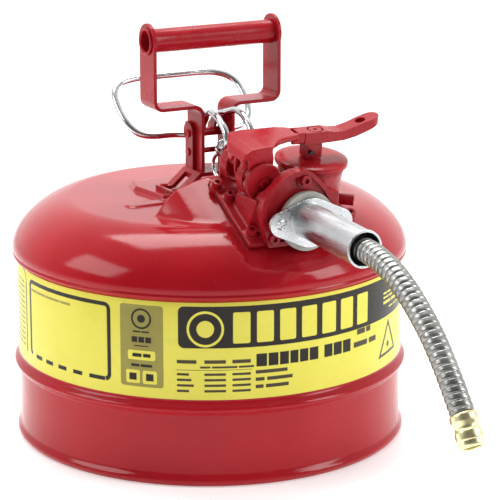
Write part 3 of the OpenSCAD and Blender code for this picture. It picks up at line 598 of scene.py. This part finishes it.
# khaki panel with plain pictograms
skin(ON_BAND, [soft_box(-52.9, 72.6, -40.1, 133.0, 2.4)], "print_panel", KHAKI)
pic = ring(-46.5, 122.8, 6.2, 7.6, 36) + [disc(-46.5, 122.8, 3.0, 24)] \
    + bars(-49.0, -44.2, 113.2, 1.2, [4, -0.5, 4]) + bars(-49.4, -43.6, 107.4, 4.2, [2, -0.4, 2, -0.4, 2]) \
    + bars(-48.6, -44.4, 102.8, 0.8, [5]) + bars(-49.6, -43.4, 88.4, 2.0, [3, -0.4, 4])
skin(ON_INK, pic, "print_pictograms", INK)
skin(ON_PANEL, [soft_box(-50.6, 92.4, -42.4, 99.4, 1.4)], "print_plate", YELLOW)
skin(ON_TOP, bars(-49.2, -43.8, 95.9, 2.6, [3, -0.5, 2.4]), "print_plate_bars", INK)
tabs = [soft_box(x, 75.0, x + 4.2, 84.8, 1.4) for x in (-51.2, -46.2)]
skin(ON_PANEL, tabs, "print_tabs", YELLOW)
skin(ON_TOP, bars(-50.2, -48.0, 79.9, 5.2, [1]) + bars(-45.2, -43.0, 79.9, 5.2, [1]), "print_tab_marks", INK)

# outlined writing panel with a dashed lower edge, and the edge of the panel beside it
pan = []
x0, x1, z0, z1, w = -92.6, -56.0, 73.6, 132.0, 3.0
outer = soft_box(x0, z0, x1, z1, 5.2, 8)
inner_o = soft_box(x0 + w * DEG, z0 + w, x1 - w * DEG, z1 - w, 2.4, 8)
for i in range(len(outer)):
    j = (i + 1) % len(outer)
    p, q = outer[i], outer[j]
    if min(p[1], q[1]) < z0 + 0.8 and min(p[0], q[0]) > x0 + 1 and max(p[0], q[0]) < x1 - 1.8:
        continue
    if p[1] < z0 + 0.1 and q[1] < z0 + 0.1:
        continue
    pan.append([p, q, inner_o[j], inner_o[i]])
for s in (-88.4, -82.4, -76.2, -69.8, -63.6):
    pan.append(box2(s, z0, s + 3.6, z0 + w))
pan.append(box2(-60.4, z0, x1 - 2.0, z0 + w))
pan += [box2(-95.9, 74, -95.2, 127)] + ring(-99.2, 127, 9.0, 10.2, 10, (0, 80))
skin(ON_BAND, pan, "print_outline", INK)
faint = bars(-91.0, -70.5, 124.4, 1.8, [5, -0.4, 7, -0.4, 9, -0.4, 6])
for z in range(78, 128, 4):
    faint += bars(-112, -97.4, z, 1.6, [3, -0.4, 5, -0.4, 2 + z % 3])
skin(ON_BAND, faint, "print_faint_lines", KHAKI)

# ---- Wires: trigger, links, springs ------------------------------------------------------
MID_Y = 4.0
ARM_Y = [MID_Y - 8.3, MID_Y + 8.3]
VALVE_Y = [-8.5, 12.5]
PIVOT_Z = 227.0
HOOK = (40.5, 224.6)
ARM = [[36.2, 225.6], list(HOOK), [44.4, 226.6], [46, 231.2], [42.8, 237.4], [36.6, 242.4],
       [28, 246.3], [18.4, 247.2], [7, 244.4], [-6, 240.4], [-13.5, 234.6], [-19.5, 228], [-26, 222.4]]
NEAR = [[-31.5, -14, -5.2], [-33, -22, -5], [-33, -34, -4.8], [-35.2, -43.8, -3],
        [-40.4, -49.4, 1.7], [-48, -52.6, 9], [-57.2, -53.2, 17.4], [-64, -51.9, 23.8], [-69, -47.4, 28.4],
        [-72, -39.5, 31.2], [-73.3, -26, 32.5], [-73.5, -10, 32.6]]
FAR = [[-73.5, 10, 32.6], [-73.3, 26, 32.5], [-72.2, 38.1, 31.5], [-69.4, 47.1, 28.8], [-64.3, 52.6, 24],
       [-56, 54.4, 16.6], [-47, 53.6, 8.2], [-39.4, 49.4, 1], [-34.6, 41, -3.4], [-33, 30, -4.8],
       [-33, 21, -5], [-31.5, 14, -5.2]]


def splay(x, k):
    return ARM_Y[k] + (VALVE_Y[k] - ARM_Y[k]) * min(1, max(0, (x - 6) / 16))


full = [[p[0], splay(p[0], 0), p[1]] for p in ARM] \
    + [[p[0], MID_Y + p[1], PIVOT_Z + p[2]] for p in NEAR + FAR] \
    + [[p[0], splay(p[0], 1), p[1]] for p in reversed(ARM)]
path = catmull(full, 10) * MM
total = float(np.linalg.norm(np.diff(path, axis=0), axis=1).sum())


def cut_end(s, a):
    e = min(s, total - s)
    return 0.0025 if e > 0.0006 else 0.0020 + 0.0005 * math.sqrt(max(0, e / 0.0006))


v, f = sweep(path, 0.0025, 24, (0, 1, 0), cut_end)
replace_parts(add_mesh("trigger_loop", v, f, WIRE, "trigger"), "trigger_wire")

LINK = [[38.5, 219.8], [33.5, 219.4], [27.5, 216.8], [23.4, 211.5], [24.4, 205], [29.4, 200.8],
        [34.2, 198.6], [38, 196.92]]
for body, node, y in (("pour_valve", "pour_link", VALVE_Y[0]), ("vent_valve", "vent_link", VALVE_Y[1])):
    eye = [[HOOK[0] - 1.6 + (t + 60) * 0.004, 5.4 * math.cos(math.radians(t)),
            HOOK[1] + 5.4 * math.sin(math.radians(t))] for t in range(-60, 241, 30)]
    pts = eye[::-1] + [[q[0], 0, q[1]] for q in LINK]
    path = (catmull(pts, 8) + np.array([0, y, 0])) * MM
    v, f = sweep(path, 0.0014, 20, (1, 0, 0))
    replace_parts(add_mesh(node + "_wire", v, f, WIRE, body), node)

TILT = math.radians(9)
FILL = turned((0.088, -0.014, 0.2173), (math.cos(TILT), 0, -math.sin(TILT)), (0, 1, 0))


def in_fill(points):
    m = np.array(FILL)
    return np.array(points, float) * MM @ m[:3, :3].T + m[:3, 3]


def coil(name, node, u0, turns, wire, r, start):
    """Close-wound torsion spring about the hinge; start is the angle its winding begins at."""
    n = turns * 48
    pts = []
    for i in range(n + 1):
        t = i / 48 * TAU
        pts.append([u0 + wire / 2 + (turns - 1) * wire * i / n + 0.04 * i / n,
                    (r - wire / 2) * math.cos(t + start), (r - wire / 2) * math.sin(t + start)])
    v, f = sweep(in_fill(pts), wire / 2 * MM, 14, (1, 0, 0))
    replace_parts(add_mesh(name, v, f, RED_TUBE, "can"), node)


coil("rear_torsion_coil", "rear_spring", -19.8, 5, 2.0, 13, -1.2)
coil("front_torsion_coil", "front_spring", 7.0, 5, 2.1, 14.4, -0.4)

# grip tube with its flared ends
grip = round_profile([(-53, 8.75), (-53, 9.95), (-53.8, 10.35), (-54.6, 9.85), (-54.8, 8.75),
                      (-53.6, 7.75), (53.6, 7.75), (54.8, 8.75), (54.6, 9.85), (53.8, 10.35),
                      (53, 9.95), (53, 8.75), (30, 8.75), (0, 8.75), (-30, 8.75)], 0.25, 3)
across = turned((-0.0044, MID_Y * MM, 0.300), (0, 1, 0), (1, 0, 0))
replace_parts(lathe("grip", grip, 96, across, RED_TUBE, "can"), "grip_tube")


def valve_coil(node, y):
    """Open-wound spring round a valve stem, from the valve disc up."""
    pts = []
    turns, z0, h, r = 6, 158.7, 17.6, 4.35
    for i in range(turns * 36 + 1):
        t = i / 36 * TAU
        pts.append([38 + r * math.cos(t), y + r * math.sin(t), z0 + h * i / (turns * 36)])
    v, f = sweep(np.array(pts) * MM, 0.0006, 10, (0, 0, 1))
    ob = add_mesh(node + "_coil", v, f, WIRE, "can")
    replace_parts(ob, node)
    return ob


pour_coil = valve_coil("pour_spring", VALVE_Y[0])
vent_coil = valve_coil("vent_spring", VALVE_Y[1])
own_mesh(pour_coil)
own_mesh(vent_coil)

# ---- Materials and eased edges on the CAD pieces that stay --------------------------------
LOOK = {   # node: (material, eased edge in mm)
    "bottom_plate": (RED, 0), "strap_near": (RED_TUBE, 0.35), "strap_far": (RED_TUBE, 0.35),
    "handle_bracket": (RED_CAST, 0.6), "cross_rod": (RED_TUBE, 0.3), "foot_rivets": (RED_TUBE, 0.4),
    "pivot_rod": (RED_TUBE, 0.3), "trigger_sleeve": (RED_TUBE, 0.3), "manifold_body": (RED_CAST, 0),
    "manifold_bolts": (RED_CAST, 0.3), "outlet_flange": (RED_CAST, 0.7),
    "outlet_bolts": (RED_CAST, 0.3), "hinge_pin": (RED_CAST, 0.35), "hinge_bush": (RED_CAST, 0.2),
    "cap_yoke": (RED_TUBE, 0), "fill_lever": (RED_TUBE, 1.1), "lever_rivet": (RED_TUBE, 0.35),
    "cap_stem": (RED_CAST, 0.6), "fill_cap": (RED_TUBE, 0.3), "neck_plug": (RED_CAST, 0.5),
    "gland_plate": (RED_TUBE, 0.3), "pour_housing": (RED_TUBE, 0), "vent_housing": (RED_TUBE, 0),
    "pour_duct": (RED_TUBE, 0), "barrel": (ZINC_TUBE, 0.4), "barrel_screws": (ZINC, 0.25),
    "hose_ferrule": (ZINC, 0.1), "gland_screws": (ZINC, 0.2), "pour_stem": (ZINC, 0.1),
    "vent_stem": (ZINC, 0.1), "pour_pin": (ZINC, 0), "vent_pin": (ZINC, 0),
    "fill_screen": (ZINC, 0), "pour_screen": (ZINC, 0), "vent_screen": (ZINC, 0),
    "stem_pin": (DARK, 0.2), "manifold_gasket": (RUBBER, 0), "cap_gasket": (RUBBER, 0),
    "pour_disc": (RUBBER, 0.2), "vent_disc": (RUBBER, 0.2), "outlet_spacer": (FIBRE, 0.3),
}
for name, (mat, width) in LOOK.items():
    ob = nodes[name]
    for s in ob.material_slots:
        s.material = mat
    if width:
        weld = ob.modifiers.new("weld", "WELD")
        weld.merge_threshold = 2e-6
        bev = ob.modifiers.new("ease", "BEVEL")
        bev.width = width * MM
        bev.segments = 3
        bev.limit_method = "ANGLE"
        bev.angle_limit = math.radians(32)
        bev.use_clamp_overlap = True
        wn = ob.modifiers.new("normals", "WEIGHTED_NORMAL")
        wn.keep_sharp = False

# Cast and pressed pieces: edges rounded all over by a fine remesh and a smoothing pass
CAST = {"cap_yoke": (0.5, 24), "manifold_body": (0.7, 5)}
for name, (voxel, passes) in CAST.items():
    re = nodes[name].modifiers.new("skin", "REMESH")
    re.mode = "VOXEL"
    re.voxel_size = voxel * MM
    re.use_smooth_shade = True
    sm = nodes[name].modifiers.new("round", "SMOOTH")
    sm.factor = 0.5
    sm.iterations = passes

# ---- Floor and light --------------------------------------------------------------------
me = bpy.data.meshes.new("floor")
me.from_pydata([(-6, -6, 0), (6, -6, 0), (6, 6, 0), (-6, 6, 0)], [], [(0, 1, 2, 3)])
floor = bpy.data.objects.new("floor", me)
scene.collection.objects.link(floor)
fm = Nodes("floor_pale")
floor_mat = fm.finish(fm.ramp(fm.noise(3, 2), [(0.3, 0.86), (0.7, 0.90)]), 0.6, None,
                      Emission_Color=(1, 1, 1, 1), Emission_Strength=0.34)
me.materials.append(floor_mat)

world = bpy.data.worlds.new("studio")
scene.world = world
world.use_nodes = True
bg = world.node_tree.nodes["Background"]
wt = world.node_tree
sky = wt.nodes.new("ShaderNodeTexCoord").outputs["Generated"]
toward = wt.nodes.new("ShaderNodeVectorMath")
toward.operation = "DOT_PRODUCT"
toward.inputs[1].default_value = (-0.86, 0.46, 0.22)
wt.links.new(sky, toward.inputs[0])
sky_ramp = wt.nodes.new("ShaderNodeValToRGB")
for stop, level, place in zip(sky_ramp.color_ramp.elements, (0.13, 1.0), (0.32, 0.92)):
    stop.color = (level, level, level, 1)
    stop.position = place
half = wt.nodes.new("ShaderNodeMath")
half.operation = "MULTIPLY_ADD"
half.inputs[1].default_value = 0.5
half.inputs[2].default_value = 0.5
wt.links.new(toward.outputs["Value"], half.inputs[0])
wt.links.new(half.outputs[0], sky_ramp.inputs["Fac"])
wt.links.new(sky_ramp.outputs["Color"], bg.inputs["Color"])
bg.inputs["Strength"].default_value = 1.25


def softbox(name, place, target, size, power):
    li = bpy.data.lights.new(name, "AREA")
    li.shape = "RECTANGLE"
    li.size, li.size_y = size
    li.energy = power
    ob = bpy.data.objects.new(name, li)
    scene.collection.objects.link(ob)
    ob.location = place
    d = Vector(target) - Vector(place)
    ob.rotation_mode = "QUATERNION"
    ob.rotation_quaternion = d.to_track_quat("-Z", "Y")
    return ob


# right and left are as the camera sees them
CAM_R = Vector((0.4695, 0.8829, 0))
CAM_F = Vector((0.8829, -0.4695, 0))
centre = Vector((0.05, 0, 0.15))
hood = Vector((0.08, -0.06, 0.17))
band = Vector((0.07, -0.12, 0.16))
softbox("key_above", hood + Vector((-0.36, 0.10, 0.93)) * 1.5, hood, (1.1, 0.65), 20)
softbox("key_left", band + Vector((-0.22, -0.80, 0.56)) * 1.6, band, (0.95, 0.7), 11)
softbox("fill_right", centre + CAM_R * 1.3 + CAM_F * 0.4 + Vector((0, 0, 0.6)), centre, (0.5, 0.8), 10)
